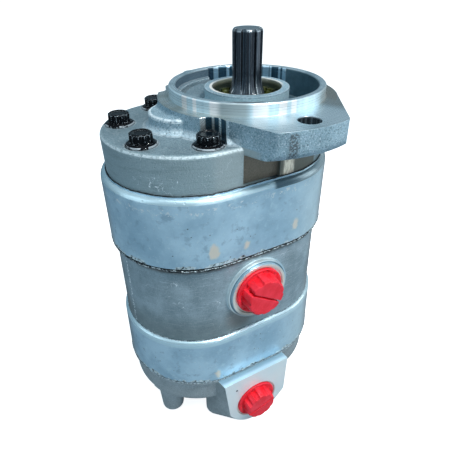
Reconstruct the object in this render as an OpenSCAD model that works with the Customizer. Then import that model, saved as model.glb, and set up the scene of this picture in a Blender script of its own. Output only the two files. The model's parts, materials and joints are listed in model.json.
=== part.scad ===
// Tandem hydraulic gear pump: two gear sections in line on one splined drive shaft.
// The origin is the drive shaft's axis at the mounting flange face. +Z runs out along
// the shaft, the two outlet ports face -Y, and the idler gears lie towards -X.
// Millimetres.

/* [Mounting flange] */
// Radius of the pilot spigot
pilot_r = 41.275; // [30:0.005:45]
// Height of the pilot spigot above the flange face
pilot_h = 6.0; // [4:0.5:10]
// Distance between the two flange bolt holes
ear_spacing = 106.38; // [90:0.01:120]
// Radius of the flange bolt holes
ear_hole_r = 5.55; // [4:0.05:7]
// Thickness of the flange ears
ear_t = 14; // [10:0.5:18]

/* [Drive shaft] */
// How far the splined end stands out of the flange face
shaft_out = 31.75; // [25:0.25:45]
// Radius over the spline teeth
spline_r = 7.73; // [6:0.01:9]
// Number of spline teeth
spline_teeth = 9; // [6:1:13]
// Radius of the bearing journals
journal_r = 9.525; // [8.8:0.025:9.8]

/* [Gears] */
// Teeth on each pumping gear
gear_teeth = 12; // [12:2:14]
// Distance between the drive and idler axes
centre_dist = 38.1; // [38:0.1:39]
// Radius over the gear teeth
gear_tip_r = 22.0; // [21.8:0.05:22]
// Face width of the front gears
front_gear_w = 33.0; // [28:0.5:38]
// Face width of the rear gears
rear_gear_w = 27.3; // [22:0.1:32]

/* [Casings] */
// Height of the front cover below the flange face
cover_bottom = 29.9; // [28:0.1:34]
// Height of the centre section
centre_h = 52.2; // [50:0.1:56]
// Thickness of the rear cover plate
rear_plate_t = 19.0; // [17:0.1:21]
// How far the rear cover's legs reach below its plate
leg_h = 23.2; // [20:0.1:30]

/* [Hidden] */
$fn = 64;
eps = 0.01;

// Clearances
run_gap = 0.05;    // axial and tip clearance of the gears
fit_gap = 0.03;    // radial clearance of a journal or a fitted ring

// Axes
idler_x = -centre_dist;
mesh_x = idler_x / 2;
arc_x = [-1.9, -36.3];   // centres of the casings' two end arcs

// Levels along the shaft
wear_t = 4.0;
land_z = -10.3;
front_z = -cover_bottom;
centre_top = front_z - 2 * wear_t - 2 * run_gap - front_gear_w;
rear_top = centre_top - centre_h;
rear_bottom = rear_top - 2 * wear_t - 2 * run_gap - rear_gear_w;
plate_bottom = rear_bottom - rear_plate_t;
leg_bottom = plate_bottom - leg_h;
front_gear_top = front_z - wear_t - run_gap;
rear_gear_top = rear_top - wear_t - run_gap;

// Casing outlines, as radii about the two arc centres
cover_r = 43.5;
front_r = 46.6;
centre_r = 44.0;
rear_r = 45.9;
plate_r = 44.0;
rim_r = 46.2;            // rim of the rear cover at its joint

// Front cover
flange_r = 47.5;
ear_tip_r = 63.3;
// Straight sides of the ear towards -Y, each as the angle of its normal, its distance
// from the shaft axis and the radius of its outer corner
ear_right = [-33.4, 47.4, 5];
ear_left = [201.7, 42.2, 4];
far_ear_right = [-37, 44, 5];   // the same on the ear towards +Y, turned half round
pocket_r = 37.5;
pocket_z = -9;
web_z = -4;              // sloping pocket floor over the idler bearing, at the boss
web_edge_z = 1.5;        // and at the pocket's wall
web_side_x = -4;         // the sloping floor lies on the idler side of this
boss_r = 22.5;
boss_top = 3.5;
seal_r = 18.5;
seal_floor = -9.5;
ring_groove_z = -1.0;    // upper side of the retaining ring's groove
idler_boss_r = 17;
idler_boss_z = -3.2;
boss_fillet = 3;
neck_fillet = 3.5;
ledge_fillet = 1.8;
relief_r = 8;
recess_x = [-28, -7.1];  // shallow recesses in the sides below the ears
recess_y = 41;

// Bearings
bush_r = 11.1;
bush_len = 15;
journal_bore_r = journal_r + fit_gap;
shaft_tunnel_r = 10.5;

// Screws
screw_r = 4.76;
screw_hole_r = 4.9;
screw_flange_r = 7.6;
screw_head_r = 5.5;
screw_head_h = 6.1;
idler_screws = [[-66.07, 16.37], [-66.07, -16.37], [-40.37, 33.18], [-40.37, -33.18]];
drive_screws = [for (p = idler_screws) [idler_x - p.x, p.y]];
leg_foot_r = 7.2;
leg_root_r = 8.3;
thread_depth = 18;

// Ports, each [x, z]
front_port = [mesh_x, centre_top - 24.1];
inlet_port = [mesh_x, centre_top - centre_h / 2];
rear_port = [mesh_x - 2, plate_bottom - 7];
front_port_r = 13.4;
rear_port_r = 10.9;
inlet_port_r = 15.3;
passage_r = 7;
passage_y = 16;
tunnel_r = 10;
port_boss_y = 47.6;
front_boss_r = 17.3;
inlet_boss_r = 20.0;
block_y = 52;
block_r = 19.2;          // round lower end of the port block, about the port
spot_depth = 1.0;        // spot face around each port, in which the plug's collar lies
spot_gap = 1.2;
front_collar_r = 14.4;
rear_collar_r = 13.4;
inlet_collar_r = 17.0;

// Dowels and casing seals
dowel_r = 3;
dowel_len = 12;
dowel_y = 36;
ring_r = 25.5;
ring_cord_r = 1.2;
groove_w = 3.0;
groove_d = 2.45;
ring_sink = ring_cord_r + 0.02;

// Wear plate seals
plate_groove_d = 1.5;
plate_seal_out = 20.4;
plate_seal_in = 18.2;
plate_seal_t = 1.4;

// Drive shaft
flare_top = 8;       // where the spline gives way to the journal
journal_top = 0.5;
stub_r = 7.5;
stub_len = 10;       // splined stub at the shaft's inner end
front_stub_end = centre_top - 25.5;
rear_stub_end = front_stub_end - 1;
shaft_end = rear_bottom - 14.4;
sleeve_r = 12;
sleeve_len = 18;
sleeve_bore_gap = 0.05;
coupling_room_r = 14;

// Colours
c_cast = [0.62, 0.63, 0.62];
c_body = [0.60, 0.67, 0.72];
c_steel = [0.30, 0.31, 0.33];
c_bright = [0.72, 0.74, 0.76];
c_bronze = [0.70, 0.52, 0.30];
c_black = [0.08, 0.08, 0.09];
c_rubber = [0.10, 0.10, 0.10];
c_gold = [0.78, 0.68, 0.32];
c_red = [0.88, 0.12, 0.16];

// ---------- shared shapes ----------

// A solid whose half profile runs around both end arcs and straight between them.
// The profile is a list of [radius, z] points that starts and ends at radius 0.
module casing(profile) {
    for (x = arc_x)
        translate([x, 0, 0]) rotate_extrude() polygon(profile);
    mirrored = [for (i = [len(profile) - 1 : -1 : 0]) [-profile[i].x, profile[i].y]];
    translate([arc_x[1], 0, 0]) rotate([90, 0, 90])
        linear_extrude(arc_x[0] - arc_x[1]) polygon(concat(profile, mirrored));
}

// Unit vector at angle a
function unit(a) = [cos(a), sin(a)];

// Points of a quarter round of radius r that turns from angle a to angle a + 90
function quarter(centre, r, a, steps = 5) =
    [for (i = [0 : steps]) centre + r * unit(a + 90 * i / steps)];

// Half profile of a concave fillet of radius r between the level z and a round wall
function fillet(wall, z, r, steps = 4) = concat(
    [[wall - 1, z - 1], [wall + r, z - 1]],
    [for (i = [0 : steps]) [wall + r, z + r] - r * [sin(90 * i / steps), cos(90 * i / steps)]],
    [[wall - 1, z + r]]);

// A cylinder from z0 up to z1
module rod(r, z0, z1, at = [0, 0]) {
    translate([at.x, at.y, z0]) cylinder(r = r, h = z1 - z0);
}

// A cylinder along -Y (side = -1) or +Y (side = 1), from y0 out to y1
module cross_rod(r, y0, y1, at, side = -1) {
    translate([at.x, side * y0, at.y]) rotate([-90 * side, 0, 0])
        cylinder(r = r, h = y1 - y0);
}

// Flat outline of two equal circles on the gear axes
module pair(r) {
    circle(r);
    translate([idler_x, 0]) circle(r);
}

// Flat racetrack outline around both gear axes
module track(r) {
    pair(r);
    translate([idler_x, -r]) square([centre_dist, 2 * r]);
}

// Opening for the gears and their plates, with a pocket at each side of the mesh
module gear_opening(z0, z1) {
    translate([0, 0, z0]) linear_extrude(z1 - z0) union() {
        pair(gear_tip_r + run_gap);
        for (s = [-1, 1]) translate([mesh_x, s * passage_y]) circle(passage_r);
    }
}

module screw_holes(points, r, z0, z1) {
    for (p = points) rod(r, z0, z1, p);
}

module dowel_holes(z0, z1) {
    for (s = [-1, 1]) rod(dowel_r + fit_gap, z0, z1, [mesh_x, s * dowel_y]);
}

// Groove for a casing ring, cut into the face at z and going down for side -1, up for +1
module ring_groove(z, side) {
    depth = groove_d;
    translate([0, 0, side < 0 ? z - depth : z - eps]) linear_extrude(depth + eps)
        difference() {
            track(ring_r + groove_w / 2);
            track(ring_r - groove_w / 2);
        }
}

// A cord ring that lies in the racetrack groove
module casing_ring(z) {
    color(c_rubber) translate([0, 0, z]) {
        for (a = [-90, 90])
            translate([a < 0 ? 0 : idler_x, 0, 0]) rotate([0, 0, a])
                rotate_extrude(angle = 180) translate([ring_r, 0]) circle(ring_cord_r, $fn = 24);
        for (s = [-1, 1])
            translate([idler_x, s * ring_r, 0]) rotate([90, 0, 90])
                linear_extrude(centre_dist) circle(ring_cord_r, $fn = 24);
    }
}

module bush(x, top) {
    color(c_bronze) difference() {
        rod(bush_r - fit_gap, top - bush_len, top, [x, 0]);
        rod(journal_bore_r, top - bush_len - 1, top + 1, [x, 0]);
    }
}

// Side plate of a gear set. The seal groove faces up when seal_up is true.
module wear_plate(top, seal_up) {
    groove_top = seal_up ? top + eps : top - wear_t + plate_groove_d;
    color(c_bright) difference() {
        translate([0, 0, top - wear_t]) linear_extrude(wear_t) difference() {
            pair(gear_tip_r);
            pair(journal_r + 0.08);
            for (s = [-1, 1]) translate([mesh_x, s * passage_y]) circle(passage_r);
        }
        translate([0, 0, groove_top - plate_groove_d - eps])
            linear_extrude(plate_groove_d + eps) difference() {
                pair(plate_seal_out + 0.1);
                pair(plate_seal_in - 0.1);
            }
    }
}

module plate_seal(z) {
    color(c_rubber) translate([0, 0, z]) linear_extrude(plate_seal_t) difference() {
        pair(plate_seal_out);
        pair(plate_seal_in);
    }
}

// ---------- gears ----------

pressure_angle = 28;
tooth_backlash = 0.06;      // taken off each flank at the pitch circle
pitch_r = centre_dist / 2;
base_r = pitch_r * cos(pressure_angle);
gear_root_r = pitch_r - 3.85;

// Involute function, in degrees
function involute(a) = tan(a) * 180 / PI - a;
// Half of a tooth's angle at radius r
function half_tooth(r) =
    90 / gear_teeth - tooth_backlash / pitch_r * 180 / PI
    + involute(pressure_angle) - involute(acos(min(1, base_r / r)));

// Flat outline of a pumping gear with a tooth on its +X side, turned by phase degrees
module gear_outline(phase) {
    steps = 6;
    radii = [for (i = [0 : steps]) base_r + (gear_tip_r - base_r) * i / steps];
    flank = [for (r = radii) [r, half_tooth(r)]];
    tooth = concat([[gear_root_r, half_tooth(base_r) + 1.2]], flank);
    last = len(tooth) - 1;
    one = concat([for (i = [0 : last]) [tooth[i].x, -tooth[i].y]],
                 [for (i = [last : -1 : 0]) tooth[i]]);
    polygon([for (t = [0 : gear_teeth - 1]) for (p = one)
        p.x * [cos(p.y + phase + t * 360 / gear_teeth), sin(p.y + phase + t * 360 / gear_teeth)]]);
}

// ---------- splines ----------

spline_root_r = 6.1;

// Flat outline of the spline with radius r over its teeth, grown by gap on every face
module spline_outline(r, root, gap = 0) {
    pitch = 360 / spline_teeth;
    top_half = pitch * 0.19 + gap / r * 57.3;
    foot_half = pitch * 0.30 + gap / root * 57.3;
    polygon([for (t = [0 : spline_teeth - 1]) for (p = [
            [root + gap, -foot_half], [r + gap, -top_half], [r + gap, 0],
            [r + gap, top_half], [root + gap, foot_half]])
        p.x * [cos(t * pitch + p.y), sin(t * pitch + p.y)]]);
}

// Cutter that opens the tooth spaces: straight from the shaft's end, then rising
// out of the shaft around a cutter wheel of radius wheel_r
spline_tooth_angle = -116.2;
spline_phase = spline_tooth_angle - 180 / spline_teeth;
wheel_r = 17;
space_floor_w = 1.5;
space_mouth_w = 5.2;
space_depth = 4;

module space_section() {
    polygon([[0, -space_floor_w / 2], [0, space_floor_w / 2],
             [space_depth, space_mouth_w / 2], [space_depth, -space_mouth_w / 2]]);
}

module spline_spaces(z0, z1) {
    for (t = [0 : spline_teeth - 1]) rotate([0, 0, spline_phase + t * 360 / spline_teeth]) {
        translate([spline_root_r, 0, z0]) linear_extrude(z1 - z0) space_section();
        translate([spline_root_r + wheel_r, 0, z0]) rotate([90, 0, 0])
            rotate_extrude() translate([wheel_r, 0]) mirror([1, 0]) space_section();
    }
}

// ---------- front cover ----------

// Centre of the rounded corner between a straight side of the ear and its tip
function ear_corner(side, turn) =
    let (inner = side[1] - side[2], outer = ear_tip_r - side[2])
    inner * unit(side[0]) + sqrt(outer ^ 2 - inner ^ 2) * unit(side[0] + turn * 90);

// Flat outline of a flange ear towards -Y, with its tip rounded about the shaft axis
module ear_outline(right_side, left_side) {
    right = ear_corner(right_side, -1);
    left = ear_corner(left_side, 1);
    polygon([right_side[1] * unit(right_side[0]), right + right_side[2] * unit(right_side[0]), right,
        left, left + left_side[2] * unit(left_side[0]), left_side[1] * unit(left_side[0])]);
    translate(right) circle(right_side[2]);
    translate(left) circle(left_side[2]);
    intersection() {
        circle(ear_tip_r);
        polygon([0.9 * right, 1.5 * right, 1.5 * left, 0.9 * left]);
    }
}

// Keeps the lower edge of the ear tips rounded
module ear_edge_round() {
    round_r = 5;
    rotate_extrude() polygon(concat([[0, -ear_t - 1], [0, 1], [ear_tip_r + 1, 1],
        [ear_tip_r + 1, -ear_t + round_r]],
        [for (i = [0 : 5]) [ear_tip_r - round_r, -ear_t + round_r]
            + round_r * [cos(18 * i), -sin(18 * i)]],
        [[ear_tip_r - round_r, -ear_t - 1]]));
}

module front_cover_shell() {
    edge = 2.2;
    casing(concat([[0, front_z], [cover_r - 0.35, front_z]],
        quarter([cover_r - edge, land_z - edge], edge, 0), [[0, land_z]]));
    intersection() {
        translate([0, 0, -ear_t]) linear_extrude(ear_t) union() {
            circle(flange_r);
            ear_outline(ear_right, ear_left);
            rotate(180) ear_outline(far_ear_right, ear_left);
        }
        ear_edge_round();
    }
    // fillet where the flange's neck stands on the land
    intersection() {
        rotate_extrude() polygon(fillet(flange_r - 0.05, land_z - 0.03, neck_fillet));
        casing([[0, land_z - 2], [cover_r - edge, land_z - 2], [cover_r - edge, 0], [0, 0]]);
    }
    rod(boss_r, pocket_z - 1, boss_top);
    rotate_extrude() polygon([[pocket_r - 2, -2], [pilot_r, -2],
        [pilot_r, pilot_h - 0.6], [pilot_r - 0.6, pilot_h], [pocket_r + 0.8, pilot_h],
        [pocket_r, pilot_h - 0.8], [pocket_r - 2, pilot_h - 0.8]]);
    idler_boss();
}

// Boss over the idler bearing, filleted to the land below and to the flange's wall above
module idler_boss() {
    edge = 0.8;
    translate([idler_x, 0, 0]) rotate_extrude() polygon(concat(
        [[0, land_z - 1]],
        [for (p = fillet(idler_boss_r, land_z - 0.03, boss_fillet)) if (p.x >= idler_boss_r) p],
        quarter([idler_boss_r - edge, idler_boss_z - edge], edge, 0, 4), [[0, idler_boss_z]]));
    intersection() {
        rotate_extrude() polygon(fillet(flange_r - 0.05, idler_boss_z - 0.03, ledge_fillet));
        rod(idler_boss_r - edge, idler_boss_z - 2, 0, [idler_x, 0]);
    }
}

// Ring-shaped pocket inside the pilot, with a sloping floor over the idler bearing
module pilot_pocket() {
    difference() {
        rod(pocket_r, pocket_z, pilot_h + 1);
        rod(boss_r, pocket_z - 1, boss_top);
        intersection() {
            rotate_extrude() polygon([[0, pocket_z - 1], [pocket_r + 1, pocket_z - 1],
                [pocket_r + 1, web_edge_z], [boss_r - 1, web_z], [0, web_z]]);
            translate([-pocket_r - 2, -pocket_r - 2, pocket_z - 2])
                cube([web_side_x + pocket_r + 2, 2 * pocket_r + 4, pilot_h - pocket_z]);
        }
    }
}

module front_cover() {
    color(c_cast) difference() {
        front_cover_shell();
        pilot_pocket();
        rod(boss_r + 1, boss_top, pilot_h + 1);
        rod(seal_r, seal_floor, boss_top + 1);
        rod(seal_r + 1.3, ring_groove_z - 1.35, ring_groove_z);
        rod(shaft_tunnel_r, front_z - 1, boss_top);
        rod(bush_r, front_z - 1, front_z + bush_len);
        rod(bush_r, front_z - 1, front_z + bush_len, [idler_x, 0]);
        // reliefs for the screw heads beside the neck
        for (p = idler_screws) rod(relief_r, land_z - 0.25, pilot_h + 2, p);
        for (s = [0, 1]) mirror([0, s]) translate([recess_x[0], -recess_y - 5, front_z - 1])
            cube([recess_x[1] - recess_x[0], 5, 1 - front_z - ear_t]);
        screw_holes(idler_screws, screw_hole_r, front_z - 1, 0);
        screw_holes(drive_screws, screw_r, front_z - 1, front_z + thread_depth);
        dowel_holes(front_z - 1, front_z + dowel_len / 2);
        for (s = [-1, 1]) rod(ear_hole_r, -ear_t - 1, 1, [0, s * ear_spacing / 2]);
    }
}

module seal_retaining_ring() {
    color(c_gold) difference() {
        rod(seal_r + 1.25, ring_groove_z - 1.3, ring_groove_z - 0.05);
        rod(16.6, ring_groove_z - 2, ring_groove_z + 1);
        translate([0, 0, ring_groove_z - 2]) rotate([0, 0, 60]) linear_extrude(3)
            polygon([[0, 0], 30 * unit(-9), 30 * unit(9)]);
    }
}

module shaft_seal() {
    top = ring_groove_z - 1.35;
    color(c_gold) rotate_extrude() polygon([
        [seal_r - fit_gap, seal_floor], [seal_r - fit_gap, top], [15.5, top], [15.5, top - 1.2],
        [12.5, top - 2.2], [10.8, top - 0.6], [10.0, top - 1.0], [journal_r + 0.03, top - 2.4],
        [journal_r + 0.03, top - 2.9], [10.4, top - 4.4], [13.6, top - 5.2], [13.6, seal_floor]]);
}

// ---------- rotating parts ----------

module front_drive_gear() {
    flare_r = ((flare_top - journal_top) ^ 2 + (journal_r - spline_r) ^ 2)
        / (2 * (journal_r - spline_r));
    flare = [for (i = [0 : 6]) let (z = journal_top + (flare_top - journal_top) * i / 6)
        [spline_r + flare_r - sqrt(flare_r ^ 2 - (flare_top - z) ^ 2), z]];
    tip = quarter([spline_r - 1.6, shaft_out - 1.6], 1.6, 0, 4);
    color(c_steel) union() {
        difference() {
            rotate_extrude() polygon(concat(
                [[0, front_stub_end + stub_len], [journal_r, front_stub_end + stub_len]], flare, tip,
                [[0, shaft_out]]));
            spline_spaces(flare_top + 2, shaft_out + 1);
        }
        translate([0, 0, front_stub_end]) rotate([0, 0, spline_phase])
            linear_extrude(stub_len + 1) spline_outline(stub_r, spline_root_r);
        translate([0, 0, front_gear_top - front_gear_w])
            linear_extrude(front_gear_w) gear_outline(0);
    }
}

module idler(gear_top, gear_w, top, bottom) {
    color(c_steel) union() {
        rod(journal_r, bottom, top, [idler_x, 0]);
        translate([idler_x, 0, gear_top - gear_w]) linear_extrude(gear_w)
            gear_outline(180 / gear_teeth);
    }
}

module front_idler_gear() {
    idler(front_gear_top, front_gear_w, front_z + bush_len - 0.6, centre_top - bush_len);
}

module rear_idler_gear() {
    idler(rear_gear_top, rear_gear_w, rear_top + bush_len, shaft_end);
}

module rear_drive_gear() {
    color(c_steel) union() {
        rod(journal_r, shaft_end, rear_top + bush_len);
        translate([0, 0, rear_top + bush_len - 1]) rotate([0, 0, spline_phase])
            linear_extrude(rear_stub_end - rear_top - bush_len + 1)
                spline_outline(stub_r, spline_root_r);
        translate([0, 0, rear_gear_top - rear_gear_w])
            linear_extrude(rear_gear_w) gear_outline(0);
    }
}

module shaft_coupling() {
    middle = (front_stub_end + rear_stub_end) / 2;
    color(c_steel) translate([0, 0, middle - sleeve_len / 2]) linear_extrude(sleeve_len)
        difference() {
            circle(sleeve_r);
            rotate(spline_phase) spline_outline(stub_r, spline_root_r, sleeve_bore_gap);
        }
}

// ---------- gear bodies and centre section ----------

module body_features(top, bottom) {
    gear_opening(bottom - 1, top + 1);
    screw_holes(concat(idler_screws, drive_screws), screw_hole_r, bottom - 1, top + 1);
    dowel_holes(top - dowel_len / 2, top + 1);
    dowel_holes(bottom - 1, bottom + dowel_len / 2);
    ring_groove(top, -1);
    ring_groove(bottom, 1);
}

module front_body() {
    lip = 0.9;
    round_h = 3.4;
    shoulder = front_r - 2.8;
    color(c_body) difference() {
        casing(concat([[0, centre_top], [front_r - 2.0, centre_top], [front_r, centre_top + 1.7]],
            [for (i = [0 : 5]) [shoulder, front_z - lip - round_h]
                + [2.8 * cos(18 * i), round_h * sin(18 * i)]],
            [[shoulder, front_z], [0, front_z]]));
        body_features(front_z, centre_top);
    }
}

module rear_body() {
    shoulder = rear_r - 2.0;
    round_h = 2.2;
    color(c_body) difference() {
        casing(concat([[0, rear_bottom], [rear_r - 0.9, rear_bottom],
            [rear_r + 0.3, rear_bottom + 1.4]],
            [for (i = [0 : 5]) [shoulder, rear_top - round_h]
                + [2.0 * cos(18 * i), round_h * sin(18 * i)]],
            [[0, rear_top]]));
        body_features(rear_top, rear_bottom);
    }
}

// Raised boss around a port in the centre section, stepped near its edge
module port_boss(port, boss, side) {
    cross_rod(boss, 30, port_boss_y, port, side);
    cross_rod(boss + 1.6, 30, port_boss_y - 1.5, port, side);
}

// Threaded port with its spot face and its chamfered mouth
module port_bore(port, bore, collar, depth, face_y, side) {
    chamfer = 0.7;
    floor_y = face_y - spot_depth;
    cross_rod(collar + spot_gap, floor_y, face_y + 1, port, side);
    cross_rod(bore, face_y - depth, face_y + 1, port, side);
    translate([port.x, side * (floor_y - chamfer), port.y]) rotate([-90 * side, 0, 0])
        cylinder(r1 = bore, r2 = bore + chamfer + 0.1, h = chamfer + 0.1);
}

module centre_section() {
    color(c_cast) difference() {
        union() {
            casing([[0, rear_top], [centre_r - 0.5, rear_top], [centre_r, rear_top + 0.6],
                [centre_r, centre_top - 0.6], [centre_r - 0.5, centre_top], [0, centre_top]]);
            port_boss(front_port, front_boss_r, -1);
            port_boss(inlet_port, inlet_boss_r, 1);
        }
        port_bore(front_port, front_port_r, front_collar_r, 19, port_boss_y, -1);
        port_bore(inlet_port, inlet_port_r, inlet_collar_r, 19, port_boss_y, 1);
        cross_rod(tunnel_r, 14, port_boss_y, front_port, -1);
        cross_rod(tunnel_r, 14, port_boss_y, inlet_port, 1);
        rod(passage_r, front_port.y, centre_top + 1, [mesh_x, -passage_y]);
        rod(passage_r, rear_top - 1, centre_top + 1, [mesh_x, passage_y]);
        // bearings, and room for the coupling between them
        for (x = [0, idler_x]) {
            rod(bush_r, centre_top - bush_len, centre_top + 1, [x, 0]);
            rod(bush_r, rear_top - 1, rear_top + bush_len, [x, 0]);
        }
        rod(coupling_room_r, rear_top + bush_len + 1.5, centre_top - bush_len - 1.5);
        rod(shaft_tunnel_r, rear_top + bush_len - 1, centre_top - bush_len + 1);
        screw_holes(concat(idler_screws, drive_screws), screw_hole_r, rear_top - 1, centre_top + 1);
        dowel_holes(centre_top - dowel_len / 2, centre_top + 1);
        dowel_holes(rear_top - 1, rear_top + dowel_len / 2);
    }
}

// ---------- rear cover ----------

// Threaded leg under an idler-side screw, tapered, with a fillet at its root
module leg(p) {
    root_fillet = 3;
    round_r = 2;
    translate([p.x, p.y, 0]) rotate_extrude() polygon(concat(
        [[0, plate_bottom + 3], [leg_root_r + root_fillet, plate_bottom + 3]],
        [for (i = [0 : 4]) [leg_root_r + root_fillet, plate_bottom - root_fillet]
            + root_fillet * [-sin(22.5 * i), cos(22.5 * i)]],
        [for (i = [0 : 4]) [leg_foot_r - round_r, leg_bottom + round_r]
            + round_r * [cos(22.5 * i), -sin(22.5 * i)]],
        [[0, leg_bottom]]));
}

// Block that carries the rear outlet port and grows out of the leg beside it
module port_block() {
    face_t = 1;
    hull() {
        translate([0, face_t - block_y, 0]) rotate([90, 0, 0]) linear_extrude(face_t) {
            polygon([[-44.3, rear_bottom], [2.2, rear_bottom], [1.2, rear_bottom - 29],
                [-40.6, rear_bottom - 31]]);
            translate(rear_port) circle(block_r);
            translate([-1.8, rear_bottom - 29]) circle(3);
        }
        rod(leg_foot_r + 0.4, leg_bottom, rear_bottom, idler_screws[3]);
        rod(5, rear_port.y, rear_bottom, [-5, -30]);
    }
}

module rear_cover() {
    edge = 2.5;
    lip = 1.3;
    boss_r = passage_r + 4;
    color(c_cast) difference() {
        union() {
            casing(concat([[0, plate_bottom], [plate_r - edge, plate_bottom]],
                quarter([plate_r - edge, plate_bottom + edge], edge, -90, 4),
                [[plate_r + 0.3, rear_bottom - 2 * lip], [rim_r, rear_bottom - lip],
                 [rim_r, rear_bottom], [0, rear_bottom]]));
            intersection() {
                for (i = [0 : 2]) leg(idler_screws[i]);
                casing([[0, leg_bottom - 1], [plate_r - 0.4, leg_bottom - 1],
                    [plate_r - 0.4, rear_bottom - 3], [0, rear_bottom - 3]]);
            }
            port_block();
            rod(boss_r, rear_port.y - passage_r - 3, plate_bottom + 1, [mesh_x, -passage_y]);
            cross_rod(boss_r, passage_y, block_y - 5, rear_port, -1);
        }
        port_bore(rear_port, rear_port_r, rear_collar_r, 17, block_y, -1);
        cross_rod(passage_r, 12, block_y, rear_port, -1);
        rod(passage_r, rear_port.y, rear_bottom + 1, [mesh_x, -passage_y]);
        for (x = [0, idler_x]) rod(bush_r, rear_bottom - bush_len, rear_bottom + 1, [x, 0]);
        screw_holes(idler_screws, screw_r, leg_bottom + 6, rear_bottom + 1);
        screw_holes(drive_screws, screw_hole_r, leg_bottom, rear_bottom + 1);
        for (p = drive_screws) rod(screw_flange_r + 1.2, leg_bottom - 4, plate_bottom, p);
        dowel_holes(rear_bottom - dowel_len / 2, rear_bottom + 1);
    }
}

// ---------- fasteners ----------

module dowel_pins() {
    color(c_bright)
        for (z = [front_z, centre_top, rear_top, rear_bottom])
            for (s = [-1, 1])
                rod(dowel_r, z - dowel_len / 2 + 0.2, z + dowel_len / 2 - 0.2,
                    [mesh_x, s * dowel_y]);
}

// Twelve-point flange screw with its head on z = 0 and its shank towards -Z
module flange_screw(length) {
    dish = 0.5;
    rod(screw_r - 0.05, -length, 0.5);
    rotate_extrude() polygon([[0, 0], [screw_flange_r - 0.3, 0], [screw_flange_r, 0.3],
        [screw_flange_r, 0.8], [screw_head_r + 0.6, 1.7], [0, 1.7]]);
    intersection() {
        translate([0, 0, 1]) linear_extrude(screw_head_h) for (a = [0, 30])
            rotate(a) circle(screw_head_r, $fn = 6);
        rotate_extrude() polygon([[0, 0.5], [screw_head_r + 1, 0.5],
            [screw_head_r + 1, screw_head_h - 1.3], [screw_head_r - 0.9, screw_head_h],
            [screw_head_r - 1.7, screw_head_h], [screw_head_r - 2.2, screw_head_h - dish],
            [0, screw_head_h - dish]]);
    }
}

module front_clamp_screws() {
    seat = land_z - 0.25;
    color(c_black) for (p = idler_screws) translate([p.x, p.y, seat])
        flange_screw(seat - leg_bottom - 7);
}

module rear_clamp_screws() {
    color(c_black) for (p = drive_screws) translate([p.x, p.y, plate_bottom])
        rotate([180, 0, 0]) flange_screw(front_z + thread_depth - 1 - plate_bottom);
}

// ---------- port plugs ----------

// Moulded screw-in plug: dished collar, lobed head with a driver slot, hollow stem.
// Its seat is z = 0, its head towards +Z and its stem towards -Z.
module port_plug(stem, collar, head, head_h, slot_angle) {
    collar_t = 1.6;
    dish = 0.8;
    slot_w = 1.3;
    slot_d = 5.2;
    lobes = 10;
    flute_r = 1.9;
    wall = 2.2;
    stem_len = 9;
    difference() {
        rotate_extrude() polygon([[0, -stem_len], [stem - 0.6, -stem_len],
            [stem, 0.6 - stem_len], [stem, 0], [collar, 0], [collar, collar_t - 0.4],
            [collar - 0.4, collar_t], [collar - 1, collar_t], [head + 0.5, collar_t - dish],
            [head, head_h - 0.9], [head - 0.25, head_h - 0.25], [head - 0.9, head_h],
            [0, head_h]]);
        rod(stem - wall, -stem_len - 1, -1);
        for (i = [0 : lobes - 1]) rotate([0, 0, 360 * i / lobes])
            translate([head + 0.8, 0, collar_t - dish + 0.2])
                cylinder(r = flute_r, h = head_h, $fn = 24);
        rotate([0, 0, slot_angle]) translate([-head - 1, -slot_w / 2, head_h - slot_d])
            cube([2 * head + 2, slot_w, slot_d + 1]);
    }
}

module plug_at(port, face_y, side) {
    translate([port.x, side * face_y, port.y]) rotate([-90 * side, 0, 0]) children();
}

module front_outlet_plug() {
    color(c_red) plug_at(front_port, port_boss_y - spot_depth, -1)
        port_plug(13.3, front_collar_r, 11.3, 8.7, -34);
}

module rear_outlet_plug() {
    color(c_red) plug_at(rear_port, block_y - spot_depth, -1)
        port_plug(10.8, rear_collar_r, 9.9, 7.8, 19);
}

module inlet_plug() {
    color(c_red) plug_at(inlet_port, port_boss_y - spot_depth, 1)
        port_plug(15.2, inlet_collar_r, 13.6, 8.7, 12);
}

front_cover();
seal_retaining_ring();
shaft_seal();
bush(0, front_z + bush_len);  // front_cover_drive_bush
bush(idler_x, front_z + bush_len);  // front_cover_idler_bush
front_drive_gear();
front_idler_gear();
front_body();
wear_plate(front_z, true);  // front_upper_wear_plate
wear_plate(centre_top + wear_t, false);  // front_lower_wear_plate
plate_seal(front_z - plate_seal_t);  // front_upper_plate_seal
plate_seal(centre_top);  // front_lower_plate_seal
casing_ring(front_z - ring_sink);  // front_body_upper_ring
casing_ring(centre_top + ring_sink);  // front_body_lower_ring
centre_section();
bush(0, centre_top);  // centre_upper_drive_bush
bush(idler_x, centre_top);  // centre_upper_idler_bush
bush(0, rear_top + bush_len);  // centre_lower_drive_bush
bush(idler_x, rear_top + bush_len);  // centre_lower_idler_bush
shaft_coupling();
rear_drive_gear();
rear_idler_gear();
rear_body();
wear_plate(rear_top, true);  // rear_upper_wear_plate
wear_plate(rear_bottom + wear_t, false);  // rear_lower_wear_plate
plate_seal(rear_top - plate_seal_t);  // rear_upper_plate_seal
plate_seal(rear_bottom);  // rear_lower_plate_seal
casing_ring(rear_top - ring_sink);  // rear_body_upper_ring
casing_ring(rear_bottom + ring_sink);  // rear_body_lower_ring
rear_cover();
bush(0, rear_bottom);  // rear_cover_drive_bush
bush(idler_x, rear_bottom);  // rear_cover_idler_bush
dowel_pins();
front_clamp_screws();
rear_clamp_screws();
front_outlet_plug();
rear_outlet_plug();
inlet_plug();
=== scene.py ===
"""Looks for the tandem gear pump: materials, casting edges, light and camera around the CAD frame.

Objects, lights and the camera are placed in metres, in the CAD's own frame. The sizes below, the
materials and the joint beads work in millimetres of the same frame.
"""
import json
import math
import bpy
from mathutils import Matrix, Vector, noise


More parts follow.
